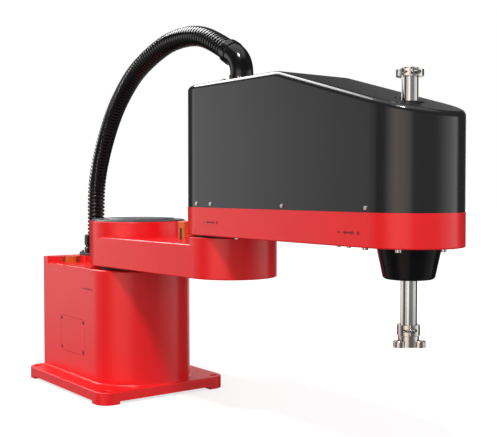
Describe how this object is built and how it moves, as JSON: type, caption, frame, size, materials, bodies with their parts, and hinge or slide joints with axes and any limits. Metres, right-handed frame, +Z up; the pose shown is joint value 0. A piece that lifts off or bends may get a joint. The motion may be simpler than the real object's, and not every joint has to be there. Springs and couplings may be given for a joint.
{
  "type": "scara robot",
  "caption": "Pedestal SCARA robot with a cast base, horizontal jointed arms, a hooded drive head, a lifting and turning tool shaft and an arched cable conduit.",
  "frame": {"origin": "centre of the base bolt pattern, on the mounting plane under the pads", "axes": "+X along the straight arms from the base to the tool, +Z up along the joint axes, +Y to the robot's left"},
  "size_m": [1.1535, 0.305, 0.7618],
  "materials": {
    "red_paint": "satin",
    "black_cover": "satin",
    "black_plastic": "satin",
    "cap_grey": "satin",
    "stop_orange": "satin",
    "hose_black": "gloss",
    "rubber": "matte",
    "panel_grey": "satin",
    "screw_steel": "satin",
    "shaft_steel": "polished",
    "machined_steel": "satin",
    "aluminium": "satin",
    "motor_black": "satin",
    "nickel": "satin"
  },
  "bodies": {
    "base": {"base_casting": "red_paint", "side_cover": "red_paint", "side_cover_screws": "screw_steel", "rear_panel": "panel_grey", "rear_panel_screws": "screw_steel", "power_socket": "nickel", "signal_socket": "nickel", "air_ports": "nickel", "j1_stop_holders": "black_plastic", "j1_stops": "stop_orange", "j1_gearbox": "machined_steel", "j1_motor": "motor_black", "conduit_base_flange": "black_plastic", "conduit_base_screws": "screw_steel", "conduit_base_gland": "black_plastic", "conduit_lower": "hose_black"},
    "inner_arm": {"inner_arm_casting": "red_paint", "j1_output_flange": "machined_steel", "j1_output_bolts": "screw_steel", "shoulder_cap": "cap_grey", "shoulder_cap_disc": "cap_grey", "shoulder_cap_screws": "screw_steel", "j2_stop_core": "screw_steel", "j2_stop": "stop_orange", "j2_gearbox": "machined_steel"},
    "outer_arm": {"outer_arm_casting": "red_paint", "head_cover": "black_cover", "head_cover_screws": "screw_steel", "j2_output_flange": "machined_steel", "j2_motor": "motor_black", "nose_cone": "black_plastic", "nose_wiper": "rubber", "housing_screws": "screw_steel", "underside_screws": "screw_steel", "spline_bearings": "machined_steel", "roll_motor_plate": "aluminium", "roll_motor": "motor_black", "roll_belt": "rubber", "drive_posts": "aluminium", "drive_plate": "aluminium", "lift_motor": "motor_black", "lift_belt": "rubber", "lift_bearing": "machined_steel", "shaft_wiper": "rubber", "conduit_head_flange": "black_plastic", "conduit_head_screws": "screw_steel", "conduit_head_elbow": "black_plastic", "conduit_upper": "hose_black"},
    "spline": {"spline_nut": "machined_steel", "roll_pulley": "aluminium"},
    "ball_nut": {"ball_nut": "machined_steel", "lift_pulley": "aluminium"},
    "quill": {"quill_shaft": "shaft_steel", "stop_collar": "machined_steel", "tool_clamp": "machined_steel", "clamp_screws": "screw_steel", "tool_flange": "machined_steel"},
    "roll_rotor": {"roll_motor_rotor": "aluminium"},
    "lift_rotor": {"lift_motor_rotor": "aluminium"}
  },
  "joints": [
    {"name": "j1_shoulder", "type": "hinge", "parent": "base", "child": "inner_arm", "pos_m": [0.0705, 0, 0.2695], "axis": [0, 0, 1], "range_deg": [-130, 130], "deforming": ["conduit_lower"]},
    {"name": "j2_elbow", "type": "hinge", "parent": "inner_arm", "child": "outer_arm", "pos_m": [0.4205, 0, 0.351], "axis": [0, 0, 1], "range_deg": [-140, 140], "deforming": ["conduit_upper"]},
    {"name": "j3_lift", "type": "slide", "parent": "spline", "child": "quill", "axis": [0, 0, 1], "range_m": [-0.035, 0.065]},
    {"name": "j4_roll", "type": "hinge", "parent": "outer_arm", "child": "spline", "pos_m": [0.8705, 0, 0.36], "axis": [0, 0, 1], "range_deg": [-360, 360]},
    {"name": "ball_nut_spin", "type": "hinge", "parent": "spline", "child": "ball_nut", "pos_m": [0.8705, 0, 0.46], "axis": [0, 0, 1], "range_deg": [-520, 950]},
    {"name": "lift_rotor_spin", "type": "hinge", "parent": "outer_arm", "child": "lift_rotor", "pos_m": [0.7655, 0, 0.459], "axis": [0, 0, 1], "range_deg": [-1030, 1890]},
    {"name": "roll_rotor_spin", "type": "hinge", "parent": "outer_arm", "child": "roll_rotor", "pos_m": [0.6405, 0, 0.393], "axis": [0, 0, 1], "range_deg": [-1095, 1095]}
  ],
  "couplings": [
    {"joint": "ball_nut_spin", "follows": "j3_lift", "rad_per_m": 251.33},
    {"joint": "lift_rotor_spin", "follows": "j3_lift", "rad_per_m": 502.65},
    {"joint": "roll_rotor_spin", "follows": "j4_roll", "ratio": 3}
  ]
}
